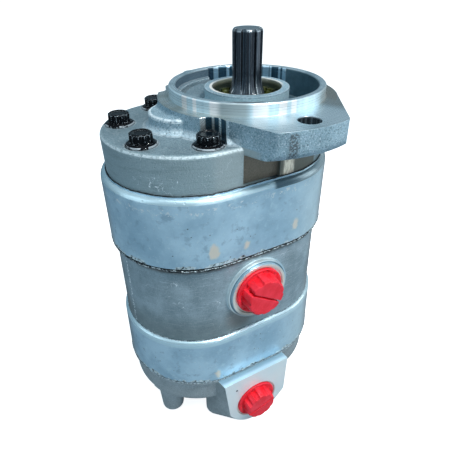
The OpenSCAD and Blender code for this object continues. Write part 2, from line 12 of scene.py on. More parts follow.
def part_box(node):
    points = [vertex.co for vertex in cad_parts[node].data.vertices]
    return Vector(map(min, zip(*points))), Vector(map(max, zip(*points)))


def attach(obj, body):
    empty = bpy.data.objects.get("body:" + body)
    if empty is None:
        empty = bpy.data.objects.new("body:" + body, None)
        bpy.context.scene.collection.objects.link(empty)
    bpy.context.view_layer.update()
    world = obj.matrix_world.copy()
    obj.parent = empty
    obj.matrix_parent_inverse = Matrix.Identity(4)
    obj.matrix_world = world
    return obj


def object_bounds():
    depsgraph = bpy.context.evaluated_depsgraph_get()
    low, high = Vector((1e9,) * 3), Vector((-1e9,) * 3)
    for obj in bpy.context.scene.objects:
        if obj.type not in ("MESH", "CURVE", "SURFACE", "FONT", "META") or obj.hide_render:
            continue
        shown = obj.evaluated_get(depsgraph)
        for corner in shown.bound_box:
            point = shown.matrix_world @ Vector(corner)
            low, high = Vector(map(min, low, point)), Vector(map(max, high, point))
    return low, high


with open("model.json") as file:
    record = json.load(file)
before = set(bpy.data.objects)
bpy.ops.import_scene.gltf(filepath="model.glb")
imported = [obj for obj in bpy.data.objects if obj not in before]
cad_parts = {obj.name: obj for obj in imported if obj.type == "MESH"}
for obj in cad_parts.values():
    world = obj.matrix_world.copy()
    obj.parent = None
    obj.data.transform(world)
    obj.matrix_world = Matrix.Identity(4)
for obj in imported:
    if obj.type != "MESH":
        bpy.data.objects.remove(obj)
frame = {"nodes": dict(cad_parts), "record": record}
cad_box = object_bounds()
NODES = frame["nodes"]
MM = 0.001


# ---------- material building ----------

class Shader:
    """One material's node tree, built with short calls. Its coordinates are in millimetres."""

    def __init__(self, name):
        self.material = bpy.data.materials.new(name)
        self.material.use_nodes = True
        self.tree = self.material.node_tree
        self.tree.nodes.clear()
        output = self.node("ShaderNodeOutputMaterial")
        self.bsdf = self.node("ShaderNodeBsdfPrincipled")
        self.link(self.bsdf.outputs[0], output.inputs[0])
        coords = self.node("ShaderNodeTexCoord")
        self.place = self.vector("MULTIPLY", coords.outputs["Object"], (1000, 1000, 1000))
        self.x, self.y, self.z = self.split(self.place)
        self.nx, self.ny, self.nz = self.split(coords.outputs["Normal"])

    def node(self, kind, **settings):
        made = self.tree.nodes.new(kind)
        for name, value in settings.items():
            setattr(made, name, value)
        return made

    def link(self, source, target):
        self.tree.links.new(source, target)

    def put(self, target, value):
        """Links a socket, or sets a plain number, colour or vector."""
        if isinstance(value, bpy.types.NodeSocket):
            self.link(value, target)
        elif isinstance(value, (tuple, list)) and target.type == "RGBA":
            target.default_value = (*value[:3], 1)
        else:
            target.default_value = value

    def split(self, vector):
        node = self.node("ShaderNodeSeparateXYZ")
        self.link(vector, node.inputs[0])
        return node.outputs

    def vector(self, operation, a, b):
        node = self.node("ShaderNodeVectorMath", operation=operation)
        self.put(node.inputs[0], a)
        self.put(node.inputs[1], b)
        return node.outputs["Value" if operation in ("DISTANCE", "DOT_PRODUCT") else "Vector"]

    def join(self, x, y, z):
        node = self.node("ShaderNodeCombineXYZ")
        for target, value in zip(node.inputs, (x, y, z)):
            self.put(target, value)
        return node.outputs[0]

    def math(self, operation, a, b=0.0, clamp=False):
        node = self.node("ShaderNodeMath", operation=operation, use_clamp=clamp)
        self.put(node.inputs[0], a)
        self.put(node.inputs[1], b)
        return node.outputs[0]

    def step(self, value, low, high):
        """0 where value is at or under low, 1 at or over high, smooth between. low may be above high."""
        node = self.node("ShaderNodeMapRange", interpolation_type="SMOOTHSTEP")
        flip = low > high
        for name, given in (("Value", value), ("From Min", min(low, high)), ("From Max", max(low, high)),
                            ("To Min", float(flip)), ("To Max", float(not flip))):
            self.put(node.inputs[name], given)
        return node.outputs[0]

    def both(self, *masks):
        result = masks[0]
        for mask in masks[1:]:
            result = self.math("MULTIPLY", result, mask)
        return result

    def either(self, *masks):
        result = masks[0]
        for mask in masks[1:]:
            result = self.math("MAXIMUM", result, mask)
        return result

    def between(self, value, low, high, soft=0.15):
        return self.both(self.step(value, low - soft, low), self.step(value, high + soft, high))

    def radius(self, x=0.0, y=0.0):
        """Distance from the upright line through x, y."""
        flat = self.join(self.math("SUBTRACT", self.x, x), self.math("SUBTRACT", self.y, y), 0)
        return self.vector("DISTANCE", flat, (0, 0, 0))

    def across(self, x, z):
        """Distance from the line through x, z that runs along Y, as the ports do."""
        return self.vector("DISTANCE", self.join(self.x, 0, self.z), (x, 0, z))

    def noise(self, size, detail=3.0, rough=0.5, stretch=(1, 1, 1), seed=0.0):
        """Noise about size millimetres across, stretched by that factor along each axis."""
        shifted = self.vector("ADD", self.place, (seed * 17.3, seed * 9.1, seed * 5.7))
        node = self.node("ShaderNodeTexNoise")
        self.link(self.vector("DIVIDE", shifted, tuple(stretch)), node.inputs["Vector"])
        self.put(node.inputs["Scale"], 1.0 / size)
        self.put(node.inputs["Detail"], detail)
        self.put(node.inputs["Roughness"], rough)
        return node.outputs["Fac"]

    def cells(self, size, stretch=(1, 1, 1)):
        """Distance to the nearest of scattered points that lie about size millimetres apart."""
        node = self.node("ShaderNodeTexVoronoi")
        self.link(self.vector("DIVIDE", self.place, tuple(stretch)), node.inputs["Vector"])
        self.put(node.inputs["Scale"], 1.0 / size)
        return node.outputs["Distance"]

    def mix(self, share, a, b):
        node = self.node("ShaderNodeMix", data_type="RGBA")
        self.put(node.inputs[0], share)
        self.put(node.inputs[6], a)
        self.put(node.inputs[7], b)
        return node.outputs[2]

    def paint(self, colour, mask, over, share=1.0):
        """colour with over laid on it where mask is 1, at most share of the way."""
        cover = mask if share == 1.0 else self.math("MULTIPLY", mask, share)
        return self.mix(cover, colour, over)

    def shade(self, share, colour, factor):
        """colour multiplied by factor where share is 1."""
        return self.mix(share, colour, self.vector("MULTIPLY", colour, (factor, factor, factor)))

    def level(self, share, a, b):
        node = self.node("ShaderNodeMix", data_type="FLOAT")
        self.put(node.inputs[0], share)
        self.put(node.inputs[2], a)
        self.put(node.inputs[3], b)
        return node.outputs[0]

    def bump(self, height, depth, normal=None):
        """Raises the surface by height times depth, in millimetres."""
        node = self.node("ShaderNodeBump")
        self.put(node.inputs["Height"], height)
        self.put(node.inputs["Distance"], depth * MM)
        self.put(node.inputs["Strength"], 1.0)
        if normal is not None:
            self.link(normal, node.inputs["Normal"])
        return node.outputs[0]

    def edges(self, radius):
        """A normal that rounds sharp edges to about radius millimetres."""
        node = self.node("ShaderNodeBevel", samples=4)
        self.put(node.inputs["Radius"], radius * MM)
        return node.outputs[0]

    def rim(self, radius, low=0.985, high=0.90):
        """1 along sharp edges, within about radius millimetres of them."""
        rounded = self.node("ShaderNodeBevel", samples=6)
        self.put(rounded.inputs["Radius"], radius * MM)
        true = self.node("ShaderNodeNewGeometry").outputs["Normal"]
        return self.step(self.vector("DOT_PRODUCT", rounded.outputs[0], true), low, high)

    def grazing(self, low=0.72, high=0.95):
        """1 where the surface turns away from the viewer, towards its outline."""
        return self.step(self.node("ShaderNodeLayerWeight").outputs["Facing"], low, high)

    def angle(self, x=0.0, y=0.0):
        """Angle in degrees about the upright line through x, y, from the +X side towards +Y."""
        turn = self.math("ARCTAN2", self.math("SUBTRACT", self.y, y), self.math("SUBTRACT", self.x, x))
        return self.math("MULTIPLY", turn, 180 / math.pi)

    def lines(self, value, spacing, seed=0.0, detail=2.0):
        """Noise that changes only with value, about spacing apart, as tool marks do."""
        node = self.node("ShaderNodeTexNoise", noise_dimensions="1D")
        self.put(node.inputs["W"], self.math("ADD", self.math("DIVIDE", value, spacing), seed))
        self.put(node.inputs["Scale"], 1.0)
        self.put(node.inputs["Detail"], detail)
        return node.outputs["Fac"]

    def scratches(self, size, seed, share=0.6):
        """Fine wandering lines in scattered patches."""
        vein = self.math("ABSOLUTE", self.math("SUBTRACT", self.noise(size, 2, 0.5, seed=seed), 0.5))
        patches = self.step(self.noise(9, 2, seed=seed + 1), share, share + 0.05)
        return self.both(self.step(vein, 0.012, 0.004), patches)

    def finish(self, colour, metal, rough, normal=None, **extra):
        self.put(self.bsdf.inputs["Base Color"], colour)
        self.put(self.bsdf.inputs["Metallic"], metal)
        self.put(self.bsdf.inputs["Roughness"], rough)
        if normal is not None:
            self.link(normal, self.bsdf.inputs["Normal"])
        for name, value in extra.items():
            self.put(self.bsdf.inputs[name.replace("_", " ")], value)
        return self.material


# ---------- sizes taken from the frame ----------

def box_mm(node):
    """The node's lowest and highest corner."""
    low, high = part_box(node)
    return low / MM, high / MM


FRONT = box_mm("front_body")
CENTRE = box_mm("centre_section")
REAR = box_mm("rear_body")
TAIL = box_mm("rear_cover")
FRONT_TOP, FRONT_BOTTOM = FRONT[1].z, FRONT[0].z
CENTRE_TOP, CENTRE_BOTTOM = CENTRE[1].z, CENTRE[0].z
REAR_TOP, REAR_BOTTOM = REAR[1].z, REAR[0].z
FRONT_R = FRONT[1].y
REAR_R = REAR[1].y
ARC_RIGHT = FRONT[1].x - FRONT_R
ARC_LEFT = FRONT[0].x + FRONT_R


def plug_centre(node):
    low, high = box_mm(node)
    return (low + high) / 2


FRONT_PORT = plug_centre("front_outlet_plug")
REAR_PORT = plug_centre("rear_outlet_plug")

SCREW_TOP = box_mm("front_clamp_screws")[1].z

# Places and sizes inside a node, which its box doesn't give. They repeat the CAD's.
SCREWS_MM = [(-66.07, 16.37), (-66.07, -16.37), (-40.37, 33.18), (-40.37, -33.18)]
EAR_HOLES_MM = [(0, 53.19), (0, -53.19)]
EAR_HOLE_R = 5.55
RELIEF_R = 8.0          # recess in the flange's neck that clears a screw
LAND_Z = -10.3          # cover's upper surface round the screws
EAR_BOTTOM = -14.0      # underside of the mounting ears
PILOT_R = 41.275
PILOT_TOP = 5.4
POCKET_R = 37.5         # pocket inside the pilot
SEAL_BOSS_R = 22.5
BOSS_TOP = 3.5
SEAL_R = 18.5
FLANGE_R = 47.5
CENTRE_R = 44.0         # end arcs of the cover, the centre section and the rear cover
IDLER_X = -38.1
IDLER_BOSS_R = 17.2     # raised boss over the idler's bushes
IDLER_BOSS_TOP = -3.0
SIDE_END_X = -25.0      # where the cover's side turns in under the ear
SCREW_FLANGE_R = 7.6
PORT_BOSS_R = 19.6
PORT_SEAT_R = 17.3
REAR_SEAT_R = 14.9
SHAFT_CHAMFER_Z = 30.0


# ---------- materials ----------

def cast_skin(s, dark, light, grain=1.0):
    """Colour, roughness and bump height shared by the sand-cast skins."""
    cloud = s.noise(15, 4, 0.6)
    sand = s.noise(0.7, 2, 0.7, seed=2)
    pit = s.step(s.cells(3.1), 0.15, 0.07)
    colour = s.mix(s.step(cloud, 0.3, 0.7), dark, light)
    colour = s.paint(colour, s.step(sand, 0.54, 0.68), (0.86, 0.93, 0.97), 0.55 * grain)
    colour = s.paint(colour, s.step(sand, 0.46, 0.32), (0.07, 0.10, 0.12), 0.65 * grain)
    colour = s.paint(colour, pit, (0.05, 0.07, 0.08), 0.6 * grain)
    rough = s.level(cloud, 0.60, 0.44)
    height = s.math("SUBTRACT", s.math("MULTIPLY", sand, 1.2 * grain), s.math("MULTIPLY", pit, 0.5))
    return colour, rough, height


def glints(s, around, places):
    """1 inside each (centre, half width) of places, in the same degrees as around."""
    found = 0.0
    for centre, half in places:
        found = s.math("MAXIMUM", found, s.between(around, centre - half, centre + half, half * 0.8))
    return found


def turned_look(s, around, r):
    """Colour, roughness and height of lathe-cut faces: rings of tool marks under painted streaky
    reflections.
    """
    streak = s.lines(around, 22.0)
    ring = s.lines(s.math("ADD", r, s.z), 0.45)
    # painted reflection streaks, lighter and darker by angle
    colour = s.mix(s.step(streak, 0.30, 0.60), (0.50, 0.63, 0.69), (0.80, 0.91, 0.96))
    colour = s.paint(colour, s.step(ring, 0.55, 0.75), (0.42, 0.54, 0.60), 0.35)
    return colour, s.level(ring, 0.20, 0.38), s.math("MULTIPLY", ring, 0.12)


def cover_sides(s, colour):
    """Drawn grey sides of the cover, with painted brown shade in the recesses under the ear, a painted
    shadow on the recess's side wall and a painted pale reflection under the ear.
    """
    under = s.step(s.z, EAR_BOTTOM + 0.5, EAR_BOTTOM - 0.5)
    side_y = s.math("ABSOLUTE", s.y)
    front = s.step(s.y, -35, -38)
    level_top = s.both(s.step(s.z, LAND_Z + 1.1, LAND_Z + 0.3), s.step(s.nz, 0.80, 0.97))
    colour = s.shade(level_top, colour, 0.60)

    smooth = s.noise(0.8, 2, 0.6, seed=8)
    drawn = s.noise(5.0, 3, 0.6, stretch=(4, 4, 0.5), seed=18)
    warm = s.both(s.between(s.x, -40, -24, 6), s.step(s.y, -20, -30))
    plain = s.mix(smooth, (0.25, 0.35, 0.38), (0.43, 0.53, 0.56))
    plain = s.paint(plain, s.step(drawn, 0.50, 0.35), (0.18, 0.24, 0.25), 0.35)
    plain = s.paint(plain, s.scratches(4.0, 11), (0.85, 0.93, 0.97))
    plain = s.paint(plain, warm, (0.56, 0.60, 0.58), 0.35)
    left_side = s.step(s.x, SIDE_END_X + 1, SIDE_END_X - 1)
    casing = s.both(under, s.step(s.radius(ARC_RIGHT, 0), 47.5, 46.5))
    casing = s.either(casing, s.both(s.step(s.z, LAND_Z + 0.3, LAND_Z - 0.7), left_side))
    colour = s.paint(colour, casing, plain, 0.85)

    # painted brown shade in the recess under the ear, and a painted shadow on the recess's side wall
    recess = s.both(s.between(s.x, -28, -7, 0.3), s.between(side_y, 38, 42.6), under)
    recess_side = s.both(s.between(s.x, -7, 20, 0.3), s.step(side_y, 38, 39), under)
    colour = s.paint(colour, recess, s.mix(smooth, (0.16, 0.13, 0.10), (0.34, 0.29, 0.23)))
    colour = s.paint(colour, recess_side, (0.20, 0.20, 0.17))
    # painted pale reflection low on the cover's side under the ear
    patch = s.both(s.between(s.x, -4.2, 0.5, 1.6), s.step(s.z, -31, -29.5), under, front)
    glow = s.noise(2.2, 3, 0.6, stretch=(0.5, 0.5, 2), seed=37)
    return s.paint(colour, patch, s.mix(s.step(glow, 0.35, 0.60), (0.60, 0.53, 0.42), (1.0, 0.94, 0.80)))


def cover_cuts(s, r, around):
    """Masks of the cover's lathe-cut and drilled faces, by name."""
    cut = {}
    cut["face"] = s.both(s.between(s.z, -0.3, 0.3), s.step(s.nz, 0.8, 0.95))
    cut["wall"] = s.both(s.between(r, PILOT_R - 0.4, PILOT_R + 0.4), s.step(s.z, -0.2, 0.1))
    near_top = s.step(s.z, PILOT_TOP - 0.4, PILOT_TOP - 0.1)
    cut["land"] = s.both(near_top, s.step(r, POCKET_R - 1, POCKET_R - 0.5))
    inner = s.both(s.between(r, POCKET_R - 0.7, POCKET_R + 0.4), s.between(around, 21, 95, 1.5))
    cut["inner"] = s.both(inner, s.step(s.z, -8.0, -6.5))
    cut["seal"] = s.both(s.between(r, 10, 20), s.step(s.nz, 0.5, -0.2))
    for i, (x, y) in enumerate(EAR_HOLES_MM):
        cut["hole", i] = s.between(s.radius(x, y), EAR_HOLE_R - 0.35, EAR_HOLE_R + 0.35)
    reliefs = [s.step(s.radius(x, y), RELIEF_R + 0.4, RELIEF_R + 0.1) for x, y in SCREWS_MM[2:]]
    cut["relief"] = s.both(s.either(*reliefs), s.step(s.z, LAND_Z - 0.1, LAND_Z + 0.3))
    return cut


def cover_shine(s, cut, colour, r, around):
    """Colour of the cut faces: painted streaky reflections and glints, painted brown reflection and
    shade on the flange face, and painted light at the top of the seal bore fading to painted shade
    below.
    """
    # painted reflections on the turned spigot wall: streaks, white glints and dark bands
    streaks = s.mix(s.lines(around, 3.0, 5), (0.50, 0.70, 0.80), (0.78, 0.94, 1.0))
    spigot = s.paint(streaks, glints(s, around, PILOT_GLINTS), (1, 1, 1))
    spigot = s.paint(spigot, glints(s, around, PILOT_DARK_REFLECTIONS), (0.42, 0.50, 0.52))
    colour = s.paint(colour, cut["wall"], spigot)
    # painted reflection on the pocket's back wall: dark with light glint bands
    soft_blue = s.mix(s.lines(around, 1.5, 4), (0.02, 0.06, 0.09), (0.10, 0.20, 0.28))
    mirror = s.paint(soft_blue, glints(s, around, POCKET_GLINTS), (0.62, 0.82, 0.95))
    colour = s.paint(colour, cut["inner"], mirror)
    # painted reflection stripes on the screw relief's wall
    scallop = glints(s, s.angle(*SCREWS_MM[3]), RELIEF_GLINTS)
    colour = s.paint(colour, cut["relief"], s.mix(scallop, (0.06, 0.14, 0.20), (0.86, 0.97, 1.0)))

    face = cut["face"]
    # painted brown reflection on the left part of the flange face
    tan = s.both(face, s.step(s.x, -24, -36), s.noise(9, 3, seed=6))
    colour = s.paint(colour, tan, (0.36, 0.33, 0.24))
    # painted brown shade on the right of the flange face, and painted shade in patches across its front
    colour = s.paint(colour, s.both(face, s.between(r, 41, 47), s.step(s.x, 26, 34)), (0.62, 0.52, 0.42))
    face_shade = s.both(face, s.between(around, -56, 5, 12), s.step(s.noise(12, 3, seed=44), 0.20, 0.45))
    colour = s.paint(colour, face_shade, (0.33, 0.33, 0.30), 0.75)
    # painted light at the top of the seal bore, fading to painted shade lower down
    seal_bore = s.both(s.between(r, SEAL_R - 0.7, SEAL_R + 1.1), s.step(s.nz, 0.5, 0.2))
    bore_colour = s.mix(s.step(s.z, 0.6, 3.2), (0.06, 0.06, 0.04), (0.97, 0.93, 0.86))
    return s.paint(colour, seal_bore, bore_colour)


def cover_shadows(s, cut, colour, r):
    """Painted shade in the pocket and the ear's bolt holes, with painted light streaks in the holes, and
    a dark column on the ear.
    """
    below_top = s.step(s.z, PILOT_TOP + 0.4, PILOT_TOP - 0.2)
    pocket = s.both(s.between(r, SEAL_BOSS_R + 0.2, POCKET_R + 0.3), below_top)
    wall = s.both(s.between(r, POCKET_R - 0.6, POCKET_R + 0.3), s.between(s.z, -6, PILOT_TOP - 0.2))
    # painted shade on the pocket's left wall
    colour = s.paint(colour, s.both(wall, s.step(s.x, 0, -3)), (0.12, 0.20, 0.28), 0.75)
    # painted shade over the pocket's right side
    gloom = s.both(pocket, s.step(s.x, 10, 20), s.step(s.math("SUBTRACT", 1, cut["inner"]), 0, 1))
    gloom_colour = s.mix(s.noise(4, 3, 0.6, seed=41), (0.04, 0.09, 0.12), (0.14, 0.25, 0.31))
    colour = s.paint(colour, gloom, gloom_colour)
    # painted shade on the pocket's floor
    floor = s.both(pocket, s.step(s.x, 2, -4), s.step(r, SEAL_BOSS_R + 0.3, SEAL_BOSS_R + 0.8))
    colour = s.shade(floor, colour, 0.62)

    # painted shade inside the ear's bolt holes, with painted light streaks
    holes = [s.step(s.radius(x, y), EAR_HOLE_R + 0.35, EAR_HOLE_R + 0.15) for x, y in EAR_HOLES_MM]
    hole = s.both(s.either(*holes), s.step(s.z, -0.3, -1.0))
    streak = s.lines(s.angle(*EAR_HOLES_MM[1]), 25.0, 8)
    hole_colour = s.mix(s.step(streak, 0.45, 0.65), (0.02, 0.04, 0.06), (0.45, 0.58, 0.66))
    colour = s.paint(colour, hole, hole_colour, 0.85)
    # a dark column down the ear's side
    column = s.both(s.between(s.x, -15.5, -13.5, 2.2), s.step(s.y, -50, -54), s.step(s.z, -0.5, -1.5))
    column = s.both(column, s.step(s.noise(0.8, 2, seed=23), 0.36, 0.56))
    return s.paint(colour, column, (0.06, 0.06, 0.06), 0.75)


def cover_sheen_and_wear(s, colour, r, cast):
    """Painted highlights on the rims and feet of the cast shapes, and bright worn edges that are partly
    painted highlight. cast is 1 away from the cut faces.
    """
    from_idler = s.radius(IDLER_X, 0)
    # painted highlights on the idler boss's rim, the feet of the boss and neck, and the cover's top edge
    beyond = s.step(r, FLANGE_R - 0.2, FLANGE_R + 0.2)
    boss_rim = s.between(from_idler, IDLER_BOSS_R - 1.5, IDLER_BOSS_R + 0.2, 0.4)
    boss_rim = s.both(boss_rim, s.between(s.z, IDLER_BOSS_TOP - 1.6, IDLER_BOSS_TOP, 0.3), beyond)
    boss_foot = s.between(from_idler, IDLER_BOSS_R, IDLER_BOSS_R + 3.0, 0.6)
    boss_foot = s.both(boss_foot, s.between(s.z, LAND_Z + 0.1, LAND_Z + 2.3, 0.6), beyond)
    neck_foot = s.between(r, FLANGE_R, FLANGE_R + 3.4, 0.6)
    neck_foot = s.both(neck_foot, s.between(s.z, LAND_Z + 0.1, LAND_Z + 2.9, 0.6))
    feet = s.math("MULTIPLY", s.either(boss_foot, neck_foot), 0.45)
    top_rim = s.between(s.z, LAND_Z - 1.7, LAND_Z - 0.7, 0.4)
    top_rim = s.both(top_rim, s.step(s.nz, 0.15, 0.4), s.step(r, 44, 46))
    lit = s.either(boss_rim, feet, s.math("MULTIPLY", top_rim, 0.6))
    lit = s.both(lit, s.step(s.noise(1.4, 2, seed=27), 0.30, 0.55), cast)
    colour = s.paint(colour, lit, (0.84, 0.95, 1.0))
    # bright edges facing upwards: partly wear, partly painted highlight
    worn = s.both(s.rim(1.0), s.step(s.nz, 0.1, 0.35), cast)
    colour = s.paint(colour, worn, (0.90, 0.97, 1.0), 0.65)
    boss_side = s.between(r, SEAL_BOSS_R - 0.4, SEAL_BOSS_R + 0.5)
    boss_side = s.both(boss_side, s.step(s.z, BOSS_TOP - 0.3, BOSS_TOP - 1.1))
    return s.paint(colour, boss_side, (0.70, 0.94, 1.0), 0.45)


def cover_material():
    """Front cover: sand-cast skin with a turned spigot, flange face, bores and screw reliefs."""
    s = Shader("cover_casting")
    r = s.radius()
    around = s.angle()
    colour, rough, height = cast_skin(s, (0.27, 0.41, 0.49), (0.40, 0.58, 0.68))
    colour = cover_sides(s, colour)
    cut = cover_cuts(s, r, around)
    turned = s.either(*cut.values())
    bright, turned_rough, turned_height = turned_look(s, around, r)
    colour = s.paint(colour, turned, cover_shine(s, cut, bright, r, around))
    # painted highlight on the back of the seal bore's rim
    bore_rim_highlight = s.both(s.step(r, SEAL_R + 1.7, SEAL_R + 1.1), s.step(s.z, BOSS_TOP - 0.5, BOSS_TOP - 0.1))
    colour = s.paint(colour, s.both(bore_rim_highlight, s.step(s.y, -12, -2)), (0.97, 0.94, 0.88))
    colour = cover_shadows(s, cut, colour, r)
    colour = cover_sheen_and_wear(s, colour, r, s.math("SUBTRACT", 1, turned))
    rough = s.level(turned, rough, turned_rough)
    height = s.level(turned, height, turned_height)
    metal = s.level(turned, 0.45, s.level(cut["wall"], 0.9, 0.35))
    return s.finish(colour, metal, rough, s.bump(height, 0.28, s.edges(0.6)))


# Painted reflection bands across the cut faces, light and dark: (centre, half width) in degrees around
# the shaft or the screw.
PILOT_GLINTS = [(-168, 2.0), (-158, 1.2), (-142, 3.0), (-113, 3.5), (-98, 2.0), (-90, 1.5)]
RELIEF_GLINTS = [(82, 7), (46, 3.0), (20, 3.5)]
PILOT_DARK_REFLECTIONS = [(-130, 7), (-40, 16)]
POCKET_GLINTS = [(87.7, 1.8), (76, 1.0), (40.6, 2.2), (36, 0.6), (27.4, 0.8), (22.5, 1.4)]


def body_material():
    """Gear bodies: smooth blue-grey skin with painted highlights on the rounded shoulders, painted
    shade, light and reflection elsewhere, and a few pale brown stains.
    """
    s = Shader("body_casting")
    cloud = s.noise(24, 4, 0.6)
    mottle = s.noise(6.0, 4, 0.65, seed=3)
    speck = s.noise(1.1, 2, 0.6, seed=5)
    colour = s.mix(s.step(cloud, 0.32, 0.68), (0.39, 0.59, 0.73), (0.60, 0.82, 0.96))
    colour = s.paint(colour, s.step(mottle, 0.45, 0.30), (0.30, 0.46, 0.58), 0.6)
    colour = s.paint(colour, s.step(mottle, 0.55, 0.72), (0.70, 0.90, 1.0), 0.5)
    colour = s.paint(colour, s.step(speck, 0.64, 0.74), (0.88, 0.95, 1.0), 0.5)
    pit = s.both(s.step(s.cells(4.2), 0.12, 0.06), s.step(s.noise(12, 2, seed=9), 0.48, 0.56))
    colour = s.paint(colour, pit, (0.08, 0.11, 0.14), 0.75)

    # painted highlights on the rounded shoulders at the tops of the bands
    front_edge = s.step(s.z, FRONT_TOP - 7, FRONT_TOP - 5)
    rear_edge = s.between(s.z, REAR_TOP - 7, REAR_TOP + 1, 1.5)
    shoulder = s.both(s.step(s.nz, 0.08, 0.38), s.either(front_edge, rear_edge))
    colour = s.paint(colour, shoulder, (0.72, 0.92, 1.0), 0.9)
    rear_top = s.between(s.z, REAR_TOP - 3.4, REAR_TOP + 1, 1.6)
    colour = s.paint(colour, rear_top, (0.70, 0.91, 1.0), 0.75)
    # painted dark reflection of the ear on the shoulder under it
    near_ear = s.both(s.between(s.x, -10, 36, 3), s.step(s.y, 0, -10))
    mirrored = s.both(s.step(s.nz, 0.02, 0.12), s.step(s.z, FRONT_TOP - 8, FRONT_TOP - 6), near_ear)
    colour = s.paint(colour, mirrored, (0.05, 0.10, 0.14), 0.9)

    crumbs = s.noise(2.0, 3, 0.7, seed=12)
    climb = s.step(s.noise(9, 3, 0.6, seed=13), 0.42, 0.60)
    lowered = s.math("ADD", s.z, s.math("MULTIPLY", climb, -2.4))
    for edge_z in (FRONT_BOTTOM, REAR_BOTTOM):
        edge = s.step(lowered, edge_z + 1.7, edge_z + 0.9)
        edge = s.both(edge, s.step(s.z, edge_z - 1.4, edge_z - 1.0))
        colour = s.paint(colour, edge, (0.60, 0.68, 0.68), 0.75)
        colour = s.paint(colour, s.both(edge, s.step(crumbs, 0.50, 0.58)), (0.84, 0.95, 1.0))
        colour = s.paint(colour, s.both(edge, s.step(crumbs, 0.45, 0.39)), (0.02, 0.03, 0.04))
    # painted speckled highlight line just below the front shoulder
    lip = s.both(s.between(s.z, FRONT_TOP - 8.5, FRONT_TOP - 5.5, 0.5), s.step(crumbs, 0.56, 0.62))
    colour = s.paint(colour, lip, (0.9, 0.97, 1.0), 0.8)

    ragged = s.noise(3.5, 4, 0.6, seed=7)
    for x, z, size in STAINS_MM:
        squashed = s.join(s.x, 0, s.math("MULTIPLY", s.z, STAIN_SQUASH))
        away = s.vector("DISTANCE", squashed, (x, 0, z * STAIN_SQUASH))
        reach = s.math("ADD", away, s.math("MULTIPLY", ragged, 3.5))
        stain = s.both(s.step(reach, size + 2.6, size + 1.2), s.step(s.y, 0, -10))
        colour = s.paint(colour, stain, (0.95, 0.84, 0.70), 0.9)
    # painted light on the right-hand part of the front side
    right = s.both(s.step(s.x, -8, 22), s.step(s.y, -20, -30))
    colour = s.paint(colour, right, (0.84, 0.98, 1.0), 0.5)
    # painted shade towards the outline
    colour = s.paint(colour, s.grazing(), (0.20, 0.17, 0.16), 0.6)
    rough = s.level(cloud, 0.46, 0.32)
    rough = s.level(shoulder, rough, 0.26)
    height = s.math("ADD", s.math("MULTIPLY", mottle, 1.3), s.math("MULTIPLY", speck, 0.35))
    height = s.math("SUBTRACT", height, pit)
    return s.finish(colour, 0.65, rough, s.bump(height, 0.14, s.edges(0.6)))


STAIN_SQUASH = 0.62     # stains are taller than they are wide
# Stains on the bodies: x, z and size.
STAINS_MM = [(-45.5, -60.5, 2.4), (-27.4, -61.5, 1.3), (-45.0, -152.5, 1.5), (3.0, -59.0, 1.8)]


def centre_material():
    """Centre section: darker casting with fine scratches and turned port bosses."""
    s = Shader("centre_casting")
    colour, rough, height = cast_skin(s, (0.28, 0.37, 0.42), (0.45, 0.56, 0.62), 0.35)
    rub = s.noise(1.2, 2, 0.5, stretch=(8, 8, 0.4), seed=4)
    colour = s.paint(colour, s.step(rub, 0.60, 0.70), (0.72, 0.84, 0.90), 0.35)
    colour = s.paint(colour, s.scratches(5.0, 21, 0.62), (0.90, 0.96, 1.0))
    low_left = s.both(s.step(s.x, -8, -30), s.step(s.z, CENTRE_BOTTOM + 24, CENTRE_BOTTOM + 4))
    colour = s.paint(colour, low_left, (0.17, 0.21, 0.21), 0.6)
    # painted shadow on the centre section under the overhanging band
    under_band = s.math("ADD", s.z, s.math("MULTIPLY", s.noise(7, 3, 0.6, seed=33), 2.5))
    band_shadow_line = s.step(under_band, CENTRE_TOP - 3.4, CENTRE_TOP - 0.2)
    colour = s.paint(colour, band_shadow_line, (0.13, 0.12, 0.11))
    seam = s.between(s.angle(ARC_LEFT, 0), -172, -170, 0.6)
    chips = s.both(seam, s.step(s.z, CENTRE_TOP - 2, CENTRE_TOP - 6))
    chips = s.both(chips, s.step(s.noise(1.3, 2, seed=14), 0.50, 0.58))
    colour = s.paint(colour, chips, (0.92, 0.97, 1.0))

    port_r = s.across(FRONT_PORT.x, FRONT_PORT.z)
    raised = s.step(s.math("ABSOLUTE", s.y), CENTRE_R - 0.6, CENTRE_R + 0.2)
    boss = s.both(s.step(port_r, PORT_BOSS_R, PORT_BOSS_R - 0.6), raised)
    colour = s.paint(colour, boss, (0.62, 0.80, 0.90))
    # painted highlight on the upper left of the port boss's ring
    slant = s.math("SUBTRACT", s.x, s.z)
    port_slant = FRONT_PORT.x - FRONT_PORT.z
    upper_left = s.step(slant, port_slant + 4, port_slant - 8)
    bright_ring = s.both(boss, s.between(port_r, PORT_SEAT_R + 1.1, PORT_SEAT_R + 1.6, 0.3), upper_left)
    colour = s.paint(colour, bright_ring, (0.90, 0.99, 1.0))
    # painted shade line in the groove round the port seat
    dark_ring = s.both(boss, s.between(port_r, PORT_SEAT_R + 0.3, PORT_SEAT_R + 0.6, 0.3))
    colour = s.paint(colour, dark_ring, (0.12, 0.22, 0.28))
    spot = s.both(s.step(port_r, PORT_SEAT_R, PORT_SEAT_R - 0.4), s.step(s.y, -40, -44))
    colour = s.paint(colour, spot, (1.0, 0.97, 0.88))
    plug_shade = s.step(s.across(FRONT_PORT.x - 10, FRONT_PORT.z - 17), 13, 5)
    plug_shade = s.both(plug_shade, s.step(s.y, -38, -40))
    colour = s.paint(colour, plug_shade, (0.20, 0.17, 0.15), 0.55)
    # painted shade towards the outline
    colour = s.paint(colour, s.grazing(), (0.16, 0.15, 0.14), 0.6)
    rough = s.level(boss, rough, 0.33)
    metal = s.level(boss, 0.6, 0.75)
    return s.finish(colour, metal, rough, s.bump(height, 0.18, s.edges(0.5)))


